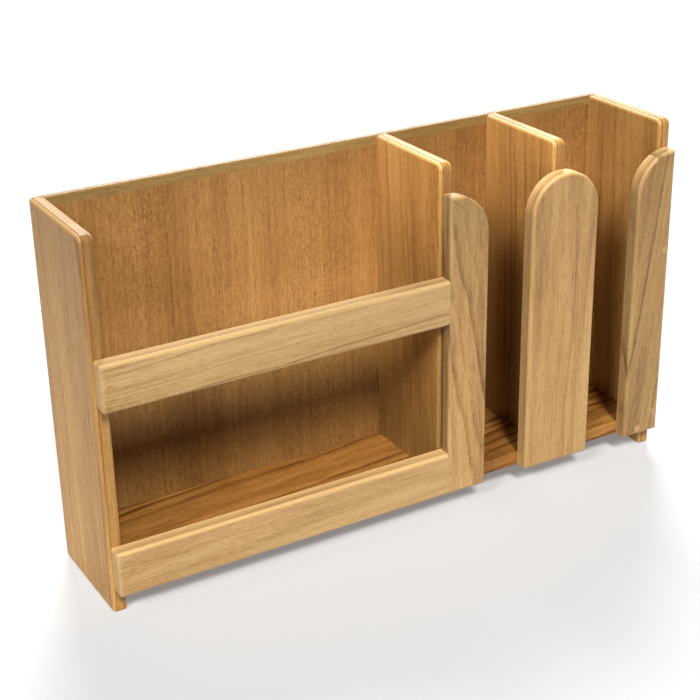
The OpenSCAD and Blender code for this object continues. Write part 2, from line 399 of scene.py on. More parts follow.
FINISH = {
    "teak_ends": teak(
        "teak_ends", dark=paint(125, 84, 37), mid=paint(168, 124, 67), pale=paint(193, 152, 89),
        streak=paint(145, 97, 51), ring=5.0 * MM),
    "teak_dividers": teak(
        "teak_dividers", dark=paint(114, 72, 27), mid=paint(162, 116, 60), pale=paint(187, 146, 87),
        streak=paint(133, 86, 40), ring=6.0 * MM),
    "teak_shelf": teak(
        "teak_shelf", dark=paint(94, 54, 19), mid=paint(148, 99, 43), pale=paint(182, 132, 67),
        streak=paint(86, 49, 17), ring=9.0 * MM, jag=8 * MM),
    "teak_veneer": veneer(
        "teak_veneer", dark=paint(100, 64, 25), mid=paint(148, 104, 54), pale=paint(175, 134, 76)),
    "teak_lipping": teak(
        "teak_lipping", dark=paint(105, 75, 38), mid=paint(143, 111, 63), pale=paint(167, 138, 86),
        streak=paint(122, 89, 51), ring=5.0 * MM),
    "teak_rails": teak(
        "teak_rails", dark=paint(119, 83, 44), mid=paint(167, 132, 85), pale=paint(189, 158, 110),
        streak=paint(131, 95, 56), ring=3.8 * MM),
    "teak_slats": teak(
        "teak_slats", dark=paint(113, 77, 43), mid=paint(157, 121, 75), pale=paint(179, 146, 98),
        streak=paint(128, 89, 54), ring=6.5 * MM),
    "teak_plugs": plug_wood(
        "teak_plugs", mid=paint(160, 123, 76), pale=paint(175, 140, 91), ring=paint(122, 84, 47)),
    "dowels": plain_wood("dowels", mid=paint(206, 176, 134), pale=paint(228, 204, 166)),
    "brass_screws": bright_metal("brass_screws", paint(214, 178, 102), paint(150, 118, 66), 0.34),
    "steel_pins": bright_metal("steel_pins", paint(196, 196, 192), paint(120, 118, 112), 0.38),
}

# ---- Boards ----

OUTWARD = [Vector((0, -1)), Vector((1, 0)), Vector((0, 1)), Vector((-1, 0))]   # bottom, right, top, left
LEFT = 3                    # the left side's place in that list
SIDE_VIEW = (1, 2, 0)       # axes of width, height and thickness of a board seen from the side
FRONT_VIEW = (0, 2, 1)      # and of one seen from the front


def arris_rings(quirk):
    """Rings of a worked arris from the narrow face to the broad one. Each is a function from the
    roundover's radius to (inset from the outline, depth below the broad face)."""
    def step(r):
        return quirk if r > 0 else 0.0

    def curve(angle):
        return lambda r: (step(r) + r * (1 - math.cos(angle)), r * (1 - math.sin(angle)))

    turns = [math.pi / 2 * i / CURVE_STEPS for i in range(CURVE_STEPS + 1)]
    before = [lambda r: (0.0, r + SUPPORT), lambda r: (0.0, r)]
    after = [lambda r: (step(r) + r + SUPPORT, 0.0)]
    return before + [curve(angle) for angle in turns] + after


def ring_points(board, rounds, ring):
    """(across, up, depth) of one ring round the board's outline, whose sides have those roundovers."""
    points = []
    for i in range(4):
        before = (i - 1) % 4
        radius_before, radius_after = rounds[before][1], rounds[i][0]
        inset_before, depth_before = ring(radius_before)
        inset_after, depth_after = ring(radius_after)
        n_before, n_after = OUTWARD[before], OUTWARD[i]
        corner = board.corners[i] - n_before * inset_before - n_after * inset_after
        full = board.radii[i]
        radius = max(full - (inset_before + inset_after) / 2, 0.0)
        if full == 0:
            points.append((*corner, max(depth_before, depth_after)))
        else:
            centre = corner - (n_before + n_after) * radius
            points.append((*(centre + n_before * radius - n_after * SUPPORT), depth_before))
            steps = max(4, round(full / ARC_STEP))
            for k in range(steps + 1):
                turn = math.pi / 2 * k / steps
                direction = n_before * math.cos(turn) + n_after * math.sin(turn)
                depth = depth_before * math.cos(turn) ** 2 + depth_after * math.sin(turn) ** 2
                points.append((*(centre + direction * radius), depth))
            points.append((*(centre + n_after * radius - n_before * SUPPORT), depth_after))
        if i == LEFT:
            for height, r in board.left_stops:
                inset, depth = ring(r)
                points.append((board.low.x + inset, height, depth))
    return points


class Board:
    """A board that fills a CAD node's box, with rounded corners and worked arrises. Radii go round
    from the lower left corner. Rounds give the roundover of each side, from the bottom round to the
    left, as one radius or as (start, end), on the face with the lower and the higher coordinate.
    Left stops are (height, roundover) at further places down the left side."""

    def __init__(self, node, view, radii=(0, 0, 0, 0), low_rounds=(0, 0, 0, 0), high_rounds=(0, 0, 0, 0),
                 quirk=0.0, left_stops=()):
        self.node = node
        self.view = view
        self.radii = radii
        across, up, through = view
        box_low, box_high = BOX[node]
        self.low = Vector((box_low[across], box_low[up]))
        self.high = Vector((box_high[across], box_high[up]))
        self.near, self.far = box_low[through], box_high[through]
        self.corners = [
            self.low, Vector((self.high.x, self.low.y)), self.high, Vector((self.low.x, self.high.y))]
        self.left_stops = left_stops
        self.quirk = quirk
        self.rounded = any(low_rounds) or any(high_rounds)
        rings = arris_rings(quirk)
        sheets = []
        for rounds, start, sign in ((low_rounds, self.near, 1), (high_rounds, self.far, -1)):
            pairs = [r if isinstance(r, tuple) else (r, r) for r in rounds]
            levels = [ring_points(self, pairs, ring) for ring in rings]
            sheets.append([[self.place(u, v, start + sign * d) for u, v, d in level] for level in levels])
        self.mesh = self.skin(sheets[0][::-1] + sheets[1])

    def place(self, across, up, through):
        point = Vector()
        for axis, value in zip(self.view, (across, up, through)):
            point[axis] = value
        return point

    @staticmethod
    def skin(levels):
        """Closed mesh through the rings, with a cap on the first and the last."""
        mesh = bmesh.new()
        rows = [[mesh.verts.new(p) for p in level] for level in levels]
        for row, following in zip(rows, rows[1:]):
            for k in range(len(row)):
                ahead = (k + 1) % len(row)
                mesh.faces.new((row[k], row[ahead], following[ahead], following[k]))
        mesh.faces.new(rows[0])
        mesh.faces.new(rows[-1])
        bmesh.ops.remove_doubles(mesh, verts=mesh.verts, dist=MERGE)
        bmesh.ops.dissolve_degenerate(mesh, edges=mesh.edges, dist=SLIVER)
        bmesh.ops.recalc_face_normals(mesh, faces=mesh.faces)
        return mesh

    def inset(self, points):
        """How far inside the outline each point lies."""
        middle = (self.low + self.high) / 2
        half = (self.high - self.low) / 2
        u, v = points[:, self.view[0]] - middle.x, points[:, self.view[1]] - middle.y
        lower = np.where(u < 0, self.radii[0], self.radii[1])
        upper = np.where(u < 0, self.radii[3], self.radii[2])
        radii = np.where(v < 0, lower, upper)
        du, dv = np.abs(u) - half.x + radii, np.abs(v) - half.y + radii
        outside = np.hypot(np.maximum(du, 0), np.maximum(dv, 0))
        return radii - outside - np.minimum(np.maximum(du, dv), 0)

    def depth(self, points):
        """How far below the nearer broad face each point lies."""
        through = points[:, self.view[2]]
        return np.minimum(through - self.near, self.far - through)

    def arris(self, points):
        """How far up a worked arris each point lies: 1 on the corner line, 0 out on the flats."""
        deepest = np.maximum(self.inset(points), self.depth(points))
        return self.rounded * np.clip(1 - deepest / (EDGE_R + SUPPORT), 0, 1)

    def scorch(self, points):
        """1 on the step that the router bit cut, else 0."""
        on_step = np.abs(self.depth(points) - EDGE_R) < SLIP
        return on_step & (self.inset(points) < self.quirk + SLIP) & (self.quirk > 0)


def lathe(profile, place, axis):
    """Closed turned shape. The profile is (radius, distance along the axis) and starts and ends on
    the axis."""
    turned = bmesh.new()
    turn = axis.to_track_quat("Z", "Y").to_matrix()
    rows = []
    for radius, along in profile:
        count = TURNED_SIDES if radius > 0 else 1
        angles = [2 * math.pi * k / TURNED_SIDES for k in range(count)]
        rows.append([
            turned.verts.new(place + turn @ Vector((radius * math.cos(a), radius * math.sin(a), along)))
            for a in angles])
    for row, following in zip(rows, rows[1:]):
        for k in range(TURNED_SIDES):
            ahead = (k + 1) % TURNED_SIDES
            around = [row[k % len(row)], row[ahead % len(row)],
                      following[ahead % len(following)], following[k % len(following)]]
            turned.faces.new(list(dict.fromkeys(around)))
    bmesh.ops.recalc_face_normals(turned, faces=turned.faces)
    return turned


def block(corner_a, corner_b):
    solid = bmesh.new()
    bmesh.ops.create_cube(solid, size=1.0)
    size = corner_b - corner_a
    centre = (corner_a + corner_b) / 2
    bmesh.ops.transform(solid, matrix=Matrix.LocRotScale(centre, None, size), verts=solid.verts)
    return solid


def to_object(name, mesh):
    data = bpy.data.meshes.new(name)
    mesh.to_mesh(data)
    mesh.free()
    thing = bpy.data.objects.new(name, data)
    bpy.context.scene.collection.objects.link(thing)
    return thing


def baked(thing):
    """The object with its modifiers' result as its plain mesh."""
    graph = bpy.context.evaluated_depsgraph_get()
    data = bpy.data.meshes.new_from_object(thing.evaluated_get(graph))
    data.name = thing.name
    thing.modifiers.clear()
    thing.data = data
    return thing


def cut(thing, cutters):
    """Takes each cutter's shape away from the object."""
    tools = [to_object(f"cutter_{i}", cutter) for i, cutter in enumerate(cutters)]
    for tool in tools:
        modifier = thing.modifiers.new("cut", "BOOLEAN")
        modifier.operation = "DIFFERENCE"
        modifier.solver = "EXACT"
        modifier.object = tool
    if tools:
        baked(thing)
    for tool in tools:
        bpy.data.objects.remove(tool)


def log_places(points, centre, grain, lean, pith):
    """Where each point was in the log: across it, across it the other way, and along its grain. The
    grain is the board's long axis, leaned a little, and pith is where the log's middle lies from the
    board's centre."""
    along = grain + lean
    along = along.normalized()
    side = Vector((0, 1, 0)) if abs(grain.y) < 0.5 else Vector((1, 0, 0))
    side = (side - along * side.dot(along)).normalized()
    other = along.cross(side)
    axes = np.array([side, other, along])
    return (points - np.array(centre + pith)) @ axes.T


def place_attribute(data, name, kind, values):
    attribute = data.attributes.new(name, kind, "POINT")
    field = "vector" if kind == "FLOAT_VECTOR" else "value"
    attribute.data.foreach_set(field, np.ascontiguousarray(values, np.float32).ravel())


UP = Vector((0, 0, 1))
ALONG = Vector((1, 0, 0))


def add_levels(data, heights):
    """Turns the mesh into triangles without slivers, with edges all round it at these heights, so
    that a value can change there."""
    mesh = bmesh.new()
    mesh.from_mesh(data)
    bmesh.ops.triangulate(mesh, faces=mesh.faces)
    for height in heights:
        whole = [*mesh.verts, *mesh.edges, *mesh.faces]
        bmesh.ops.bisect_plane(mesh, geom=whole, plane_co=(0, 0, height), plane_no=UP)
    bmesh.ops.triangulate(mesh, faces=mesh.faces)
    bmesh.ops.remove_doubles(mesh, verts=mesh.verts, dist=CUT_MERGE)
    bmesh.ops.dissolve_degenerate(mesh, edges=mesh.edges, dist=CUT_SLIVER)
    mesh.to_mesh(data)
    mesh.free()


def make_board(board, slot, grain, lean, pith, figure, light=(1, 1), narrow=(1, 1, 1), cutters=()):
    """Finished board: cut, given its place in the log and its finish, and put on the frame. Figure is
    how strongly its rings show, light the painted light and shade that brighten or darken it beside
    its finish, from the foot to the top, and narrow the painted light on its narrow faces across X, Y
    and Z beside its broad ones."""
    piece = to_object(board.node + "_worked", board.mesh)
    cut(piece, cutters)
    add_levels(piece.data, np.linspace(0, top, len(light))[1:-1])
    data = piece.data
    points = np.array([v.co for v in data.vertices])
    normals = np.array([v.normal for v in data.vertices])
    log = log_places(points, middle(board.node), grain, Vector(lean), Vector(pith))
    arris = board.arris(points)
    on_edge = board.inset(points) < SUPPORT
    facing_up = np.clip(normals[:, 2] * 1.3, 0, 1)
    # Painted light on the narrow faces near the outline, brighter or darker than the broad faces as the
    # light falls on them
    nearness = np.clip(1 - board.inset(points) / (EDGE_R + SUPPORT), 0, 1)
    narrow_light = 1 + nearness * (normals ** 2 @ (np.array(narrow) - 1))
    # Painted light and shade, brighter or darker from the foot to the top as the light falls on each
    # board
    bright = np.interp(points[:, 2], np.linspace(0, top, len(light)), light)
    if board.view == FRONT_VIEW:
        bright[points[:, 1] > y_rear - SLIP] = 1.0      # the rear of the back is even
    place_attribute(data, "log", "FLOAT_VECTOR", log)
    place_attribute(data, "arris", "FLOAT", arris)
    # Painted highlight: the arrises that face up, where the light from above catches them
    place_attribute(data, "crest", "FLOAT", np.sqrt(arris) * facing_up)
    place_attribute(data, "end_grain", "FLOAT", (normals @ np.array(grain)) ** 2 * on_edge)
    place_attribute(data, "scorch", "FLOAT", board.scorch(points))
    place_attribute(data, "figure", "FLOAT", np.full(len(points), figure))
    place_attribute(data, "light", "FLOAT", bright * narrow_light)
    finish_piece(piece, slot, board.node)


def finish_piece(piece, slot, node):
    piece.data.materials.clear()
    piece.data.materials.append(FINISH[slot])
    piece.data.shade_smooth()
    piece.data.set_sharp_from_angle(angle=SHARP_ANGLE)
    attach(piece, "root")
    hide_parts(node)


# Places of the fixings
rail_z = {rail: middle(rail).z for rail in ("lower_rail", "upper_rail")}
screw_heights = list(rail_z.values())
x_rail_screw = low("upper_rail").x + RAIL_SCREW_INSET
x_left_slat_screw = low("left_slat").x + SLAT_SCREW_INSET
x_middle_slat_screw = middle("middle_slat").x
x_right_slat_screw = high("right_slat").x - SLAT_SCREW_INSET
shelf_edge_screw = (low("right_slat").x + SHELF_EDGE_SCREW_INSET, (z_foot + z_floor) / 2)


def up_the_board(x):
    return [(x, z) for z in screw_heights]


right_slat_screws = up_the_board(x_right_slat_screw) + [shelf_edge_screw]
front_screws = (
    up_the_board(x_rail_screw) + up_the_board(x_left_slat_screw)
    + up_the_board(x_middle_slat_screw) + right_slat_screws)
under_screws = [
    (middle(divider).x, y)
    for divider in ("left_divider", "right_divider")
    for y in (y_panel + UNDER_SCREW_INSET, y_back - UNDER_SCREW_INSET)]


def spread(start, end, count):
    return [start + (end - start) * i / (count - 1) for i in range(count)]


pin_heights = spread(z_floor + PIN_END, top - PIN_END, PINS_UP)
x_left_in = high("left_end").x
x_right_in = low("right_end").x
x_left_pins = x_left_in - REBATE_W / 2
x_right_pins = x_right_in + REBATE_W / 2
upright_pins = [
    (x, z)
    for x in (x_left_pins, middle("left_divider").x, middle("right_divider").x, x_right_pins)
    for z in pin_heights]
shelf_pin_x = spread(x_left_in + PIN_END, low("left_divider").x - PIN_END, PINS_ALONG)
shelf_pin_x.append((high("left_divider").x + low("right_divider").x) / 2)
shelf_pin_x.append((high("right_divider").x + x_right_in) / 2)
pins = upright_pins + [(x, (z_foot + z_floor) / 2) for x in shelf_pin_x]

INWARD = Vector((0, 1, 0))
OUT_BACK = Vector((0, -1, 0))
SCREW_HEAD_H = (SCREW_HEAD_D - SCREW_D) / 2
SCREW_HOLE = [
    (SCREW_HEAD_D / 2, 0), (SCREW_D / 2, SCREW_HEAD_H), (SCREW_D / 2, SCREW_LEN - SCREW_D),
    (0, SCREW_LEN)]


def front_hole(place):
    """Plug hole and screw hole, from in front of the board."""
    profile = [(0, -OVER), (PLUG_D / 2, -OVER), (PLUG_D / 2, PLUG_DEPTH)]
    profile += [(radius, PLUG_DEPTH + along) for radius, along in SCREW_HOLE]
    return lathe(profile, Vector((place[0], y_face, place[1])), INWARD)


def under_hole(place):
    start = [(0, -OVER), (SCREW_HEAD_D / 2, -OVER)]
    return lathe(start + SCREW_HOLE, Vector((place[0], place[1], z_foot)), UP)


def pin_hole(place):
    profile = [
        (0, -OVER), (PIN_HEAD_D / 2, -OVER), (PIN_HEAD_D / 2, PIN_HEAD_T), (PIN_D / 2, PIN_HEAD_T),
        (PIN_D / 2, PIN_LEN - PIN_D), (0, PIN_LEN)]
    return lathe(profile, Vector((place[0], y_rear, place[1])), OUT_BACK)


def dowel_holes(rail):
    reach = DOWEL_LEN / 2 + DOWEL_ROOM
    profile = [(0, -reach), (DOWEL_D / 2, -reach), (DOWEL_D / 2, reach), (0, reach)]
    y = (y_face + y_panel) / 2
    return [
        lathe(profile, Vector((low("left_slat").x, y, rail_z[rail] + side * DOWEL_PITCH / 2)), ALONG)
        for side in (-1, 1)]


def together(shapes):
    """One mesh of shapes that don't touch each other."""
    whole = bmesh.new()
    for shape in shapes:
        data = bpy.data.meshes.new("part")
        shape.to_mesh(data)
        shape.free()
        whole.from_mesh(data)
        bpy.data.meshes.remove(data)
    return whole


def end_cutters(inner, toward, screws, x_pins):
    """Rebate for the back, housing for the shelf and the holes of an end. Toward is the way from its
    inner face into its wood."""
    def strip(depth, y0, y1, z0, z1):
        xs = sorted((inner - toward * OVER, inner + toward * depth))
        return block(Vector((xs[0], y0, z0)), Vector((xs[1], y1, z1)))

    rebate = strip(REBATE_W, y_back, y_rear + OVER, z_foot, top + OVER)
    housing = strip(HOUSING_DEPTH, y_panel - OVER, y_back + OVER / 2, z_foot, z_floor)
    holes = [front_hole(p) for p in screws] + [pin_hole((x_pins, z)) for z in pin_heights]
    return [rebate, housing, together(holes)]


end_corners = (SMALL_R, SMALL_R, SMALL_R, CORNER_R)
outer_rounds = (SMALL_R, EDGE_R, EDGE_R, EDGE_R)
inner_rounds = (SMALL_R, 0, EDGE_R, EDGE_R)
make_board(
    Board("left_end", SIDE_VIEW, end_corners, outer_rounds, inner_rounds, QUIRK),
    "teak_ends", UP, lean=(0.012, 0.02, 0), pith=(0.055, 0.03, 4.0), figure=0.22, light=(1.2, 0.77),
    narrow=(1, 0.85, 1.1),
    cutters=end_cutters(x_left_in, -1, up_the_board(x_rail_screw), x_left_pins))
make_board(
    Board("right_end", SIDE_VIEW, end_corners, inner_rounds, outer_rounds, QUIRK),
    "teak_ends", UP, lean=(-0.01, 0.03, 0), pith=(0.05, -0.03, 8.3), figure=0.2, light=(1.15, 1.2),
    narrow=(1, 0.8, 1.1),
    cutters=end_cutters(x_right_in, 1, up_the_board(x_right_slat_screw), x_right_pins))

divider_rounds = (0, 0, EDGE_R, EDGE_R)
# The dividers' light paints them much brighter towards the top, where the light falls on them
for divider, screws, lean, pith in (
        ("left_divider", up_the_board(x_left_slat_screw), (0.03, 0.06, 0), (0.045, 0.02, 12.1)),
        ("right_divider", up_the_board(x_middle_slat_screw), (-0.02, 0.03, 0), (0.06, -0.02, 16.4))):
    x = middle(divider).x
    holes = [front_hole(p) for p in screws]
    holes += [under_hole(p) for p in under_screws]
    holes += [pin_hole((x, z)) for z in pin_heights]
    make_board(
        Board(divider, SIDE_VIEW, (0, 0, 0, CORNER_R), divider_rounds, divider_rounds, QUIRK),
        "teak_dividers", UP, lean, pith, figure=0.3, light=(0.66, 0.8, 0.98, 1.75), narrow=(1, 0.5, 1),
        cutters=[together(holes)])

shelf_holes = [front_hole(shelf_edge_screw)] + [under_hole(p) for p in under_screws]
shelf_holes += [pin_hole((x, (z_foot + z_floor) / 2)) for x in shelf_pin_x]
make_board(
    Board("bottom_shelf", SIDE_VIEW, (EASE_R, 0, 0, EASE_R)),
    "teak_shelf", ALONG, lean=(0, 0.05, 0.045), pith=(20.2, 0.02, -0.05), figure=0.72,
    cutters=[together(shelf_holes)])
# The back's light is painted shade low down and a painted lighter band just above the upper rail
make_board(
    Board("back_panel", FRONT_VIEW), "teak_veneer", UP, lean=(0, 0, 0), pith=(0.3, 0.2, 24.5),
    figure=1.0, light=(0.84, 0.82, 0.82, 1.26, 1.16, 0.9),
    cutters=[together([pin_hole(p) for p in pins])])
make_board(
    Board("back_lipping", SIDE_VIEW, (0, 0, EASE_R, EASE_R)),
    "teak_lipping", ALONG, lean=(0, 0.004, 0.006), pith=(28.6, 0.03, -0.05), figure=0.3)

rail_corners = (SMALL_R, 0, 0, SMALL_R)
rail_rounds = (EDGE_R, 0, EDGE_R, EDGE_R)
for rail, lean, pith, figure, light in (
        ("upper_rail", (0, 0.02, 0.022), (33.0, 0.035, -0.035), 0.45, (0.96, 0.96)),
        ("lower_rail", (0, 0.012, 0.010), (38.0, 0.09, -0.06), 0.06, (1.09, 1.09))):
    screw = (x_rail_screw, rail_z[rail])
    make_board(
        Board(rail, FRONT_VIEW, rail_corners, rail_rounds),
        "teak_rails", ALONG, lean, pith, figure, light,
        cutters=[together([front_hole(screw), *dowel_holes(rail)])])

left_slat_stops = [
    (high("upper_rail").z + RUN_OUT, EDGE_R), (high("upper_rail").z, 0),
    (low("upper_rail").z, 0), (low("upper_rail").z - RUN_OUT, EDGE_R),
    (high("lower_rail").z + RUN_OUT, EDGE_R), (high("lower_rail").z, 0),
]
side_head_r = high("left_slat").x - low("left_slat").x - EDGE_R
middle_head_r = (high("middle_slat").x - low("middle_slat").x) / 2 - SUPPORT
slat_holes = [front_hole(p) for p in up_the_board(x_left_slat_screw)]
slat_holes += [hole for rail in rail_z for hole in dowel_holes(rail)]
make_board(
    Board("left_slat", FRONT_VIEW, (SMALL_R, SMALL_R, side_head_r, 0),
          (EDGE_R, EDGE_R, EDGE_R, (EDGE_R, 0)), left_stops=left_slat_stops),
    "teak_slats", UP, lean=(-0.05, 0.10, 0), pith=(-0.012, 0.030, 42.0),
    figure=0.32, light=(1.22, 1.12, 0.7), narrow=(0.7, 1, 1.3), cutters=[together(slat_holes)])
make_board(
    Board("middle_slat", FRONT_VIEW, (SMALL_R, SMALL_R, middle_head_r, middle_head_r), (EDGE_R,) * 4),
    "teak_slats", UP, lean=(0.012, 0.02, 0), pith=(0.03, 0.045, 46.3), figure=0.16, light=(1.16, 0.97),
    narrow=(1.08, 1, 1.6),
    cutters=[together([front_hole(p) for p in up_the_board(x_middle_slat_screw)])])
make_board(
    Board("right_slat", FRONT_VIEW, (SMALL_R, SMALL_R, 0, side_head_r), (EDGE_R,) * 4),
    "teak_slats", UP, lean=(0.13, 0.03, 0), pith=(0.03, 0.03, 51.7), figure=0.42, light=(0.86, 0.8),
    narrow=(1.2, 1, 1.6),
    cutters=[together([front_hole(p) for p in right_slat_screws])])

# ---- Fixings that repeat, by Geometry Nodes ----


class FixingGraph(Graph):
    """Geometry tree that puts one small solid at each point of the mesh it is given."""

    def __init__(self, name, sizes):
        super().__init__(bpy.data.node_groups.new(name, "GeometryNodeTree"))
        face = self.tree.interface
        face.new_socket("Places", in_out="INPUT", socket_type="NodeSocketGeometry")
        face.new_socket("Solids", in_out="OUTPUT", socket_type="NodeSocketGeometry")
        for size in [*sizes, "Seed"]:
            kind = "NodeSocketInt" if size == "Seed" else "NodeSocketFloat"
            face.new_socket(size, in_out="INPUT", socket_type=kind)
        self.inlet = self.add("NodeGroupInput")

    def size(self, name):
        return self.inlet.output(name)

    def shift(self, solid, z):
        offset = self.add("ShaderNodeCombineXYZ", {}, [0.0, 0.0, z])
        return self.add("GeometryNodeTransform", {}, {"Geometry": solid, "Translation": offset})

    def cylinder(self, radius, depth, sides=24, rings=1):
        sockets = {
            "Vertices": sides, "Side Segments": 1, "Fill Segments": rings,
            "Radius": radius, "Depth": depth,
        }
        return self.add("GeometryNodeMeshCylinder", {}, sockets)

    def cone(self, bottom, upper, depth, sides=24):
        sockets = {"Vertices": sides, "Radius Top": upper, "Radius Bottom": bottom, "Depth": depth}
        return self.add("GeometryNodeMeshCone", {}, sockets)

    def join(self, *solids):
        joined = self.tree.nodes.new("GeometryNodeJoinGeometry")
        for solid in reversed(solids):
            self.tree.links.new(solid.socket, joined.inputs[0])
        return Wire(self, joined.outputs[0])

    def store(self, solid, name, value, domain="POINT"):
        settings = {"data_type": "FLOAT", "domain": domain}
        sockets = {"Geometry": solid, "Name": name, "Value": value}
        return self.add("GeometryNodeStoreNamedAttribute", settings, sockets)

    def scatter(self, solid, turn):
        """Instances at the places, turned to point the right way, spun by chance, given a tone by
        chance and realised."""
        sockets = {"Seed": self.size("Seed")}
        chance = self.add("FunctionNodeRandomValue", {"data_type": "FLOAT"}, sockets)
        sockets = {"Points": self.size("Places"), "Instance": solid, "Rotation": turn}
        put = self.add("GeometryNodeInstanceOnPoints", {}, sockets)
        about = self.add("ShaderNodeCombineXYZ", {}, [0.0, 0.0, chance * (2 * math.pi)])
        sockets = {"Instances": put, "Rotation": about, "Local Space": True}
        put = self.add("GeometryNodeRotateInstances", {}, sockets)
        put = self.store(put, "tone", chance, domain="INSTANCE")
        return self.add("GeometryNodeRealizeInstances", {}, [put])

    def close(self, solids, material):
        painted = self.add("GeometryNodeSetMaterial", {}, {"Geometry": solids, "Material": material})
        self.add("NodeGroupOutput", {}, [painted])


def fixings(node, slot, places, graph, sizes, seed):
    """The finished piece that a tree makes at these places."""
    data = bpy.data.meshes.new(node + "_worked")
    data.from_pydata(places, [], [])
    piece = bpy.data.objects.new(node + "_worked", data)
    bpy.context.scene.collection.objects.link(piece)
    modifier = piece.modifiers.new("fixings", "NODES")
    modifier.node_group = graph.tree
    for item in graph.tree.interface.items_tree:
        if item.in_out == "INPUT" and item.name in sizes:
            modifier[item.identifier] = sizes[item.name]
        if item.name == "Seed":
            modifier[item.identifier] = seed
    baked(piece)
    finish_piece(piece, slot, node)


def plug_tree():
    """Grain plug, flush with the board, following the roundover of the slat's outer edge."""
    tree = FixingGraph("plugs", ["Radius", "Depth", "Edge", "Edge radius", "Face"])
    plug = tree.cylinder(tree.size("Radius"), tree.size("Depth"), sides=32, rings=5)
    spot = tree.add("ShaderNodeSeparateXYZ", {}, [tree.add("GeometryNodeInputPosition")])
    x, y = spot.output("X"), spot.output("Y")
    rim = x.work("SQRT", x * x + y * y) / tree.size("Radius")
    plug = tree.store(tree.shift(plug, tree.size("Depth") * 0.5), "rim", rim)
    solids = tree.scatter(plug, (-math.pi / 2, 0, 0))
    spot = tree.add("ShaderNodeSeparateXYZ", {}, [tree.add("GeometryNodeInputPosition")])
    x, y, z = (spot.output(axis) for axis in "XYZ")
    past = x.work("MAXIMUM", x - tree.size("Edge"), 0.0)
    edge = tree.size("Edge radius")
    drop = edge - x.work("SQRT", edge * edge - past * past)
    front = x.work("MAXIMUM", y, tree.size("Face") + drop)
    moved = tree.add("ShaderNodeCombineXYZ", {}, [x, front, z])
    solids = tree.add("GeometryNodeSetPosition", {}, {"Geometry": solids, "Position": moved})
    tree.close(solids, FINISH["teak_plugs"])
    return tree


def screw_tree():
    """Countersunk wood screw with a cross recess, a plain neck, a thread and a point."""
    tree = FixingGraph("screws", ["Diameter", "Head diameter", "Length", "Turn"])
    width, head, length = (tree.size(name) for name in ("Diameter", "Head diameter", "Length"))
    head_h = (head - width) * 0.5
    point_h = width * 1.5
    neck_h = length - head_h - point_h
    core = width * 0.42
    top_cone = tree.cone(head * 0.5, core, head_h)
    bars = []
    for long_way in ((1, 0), (0, 1)):
        bar = [head * (0.55 if way else 0.17) for way in long_way] + [head_h * 1.1]
        size = tree.add("ShaderNodeCombineXYZ", {}, bar)
        bars.append(tree.add("GeometryNodeMeshCube", {}, {"Size": size}))
    recessed = tree.add("GeometryNodeMeshBoolean", {"operation": "DIFFERENCE", "solver": "EXACT"})
    recessed_node = recessed.socket.node
    tree.tree.links.new(top_cone.socket, recessed_node.inputs["Mesh 1"])
    for bar in bars:
        tree.tree.links.new(bar.socket, recessed_node.inputs["Mesh 2"])
    shank = tree.shift(tree.cylinder(core, neck_h), head_h + neck_h * 0.5)
    point = tree.shift(tree.cone(core, 0.0, point_h), length - point_h)
    spiral = tree.add(
        "GeometryNodeCurveSpiral", {},
        {"Resolution": 16, "Rotations": 9.0, "Start Radius": width * 0.40, "End Radius": width * 0.40,
         "Height": neck_h * 0.7})
    ridge = tree.add("GeometryNodeCurvePrimitiveCircle", {}, {"Resolution": 5, "Radius": width * 0.11})
    thread = tree.add(
        "GeometryNodeCurveToMesh", {}, {"Curve": spiral, "Profile Curve": ridge, "Fill Caps": True})
    thread = tree.shift(thread, head_h + neck_h * 0.28)
    screw = tree.join(recessed, shank, point, thread)
    turn = tree.add("ShaderNodeCombineXYZ", {}, [tree.size("Turn"), 0.0, 0.0])
    solids = tree.scatter(screw, turn)
    tree.close(solids, FINISH["brass_screws"])
    return tree


def dowel_tree():
    """Fluted dowel with tapered ends."""
    tree = FixingGraph("dowels", ["Diameter", "Length"])
    width, length = tree.size("Diameter"), tree.size("Length")
    taper = width * 0.15
    body = tree.cylinder(width * 0.5, length - taper * 2, sides=48)
    tip = tree.shift(tree.cone(width * 0.5, width * 0.4, taper, sides=48), length * 0.5 - taper)
    tail = tree.add("GeometryNodeTransform", {}, {"Geometry": tip, "Rotation": (math.pi, 0, 0)})
    dowel = tree.join(body, tip, tail)
    spot = tree.add("ShaderNodeSeparateXYZ", {}, [tree.add("GeometryNodeInputPosition")])
    x, y, z = (spot.output(axis) for axis in "XYZ")
    ripple = x.work("COSINE", x.work("ARCTAN2", y, x) * 16.0)
    shrink = 0.97 + ripple * 0.03
    fluted = tree.add("ShaderNodeCombineXYZ", {}, [x * shrink, y * shrink, z])
    dowel = tree.add("GeometryNodeSetPosition", {}, {"Geometry": dowel, "Position": fluted})
    solids = tree.scatter(dowel, (0, math.pi / 2, 0))
    tree.close(solids, FINISH["dowels"])
    return tree


def pin_tree():
    """Panel pin with a flat head, a shank and a point."""
    tree = FixingGraph("pins", ["Diameter", "Head diameter", "Head height", "Length"])
    names = ("Diameter", "Head diameter", "Head height", "Length")
    width, head, head_h, length = (tree.size(name) for name in names)
    cap = tree.cone(head * 0.47, head * 0.5, head_h * 0.3, sides=16)
    under = tree.shift(tree.cylinder(head * 0.5, head_h * 0.7, sides=16), head_h * 0.65)
    shank_h = length - head_h - width
    shank = tree.shift(tree.cylinder(width * 0.5, shank_h, sides=12), head_h + shank_h * 0.5)
    point = tree.shift(tree.cone(width * 0.5, 0.0, width, sides=12), length - width)
    solids = tree.scatter(tree.join(cap, under, shank, point), (math.pi / 2, 0, 0))
    tree.close(solids, FINISH["steel_pins"])
    return tree


plug_sizes = {
    "Radius": PLUG_D / 2, "Depth": PLUG_DEPTH, "Face": y_face,
    "Edge": high("right_slat").x - EDGE_R, "Edge radius": EDGE_R,
}
front_places = [(x, y_face, z) for x, z in front_screws]
fixings("front_plugs", "teak_plugs", front_places, plug_tree(), plug_sizes, seed=4)

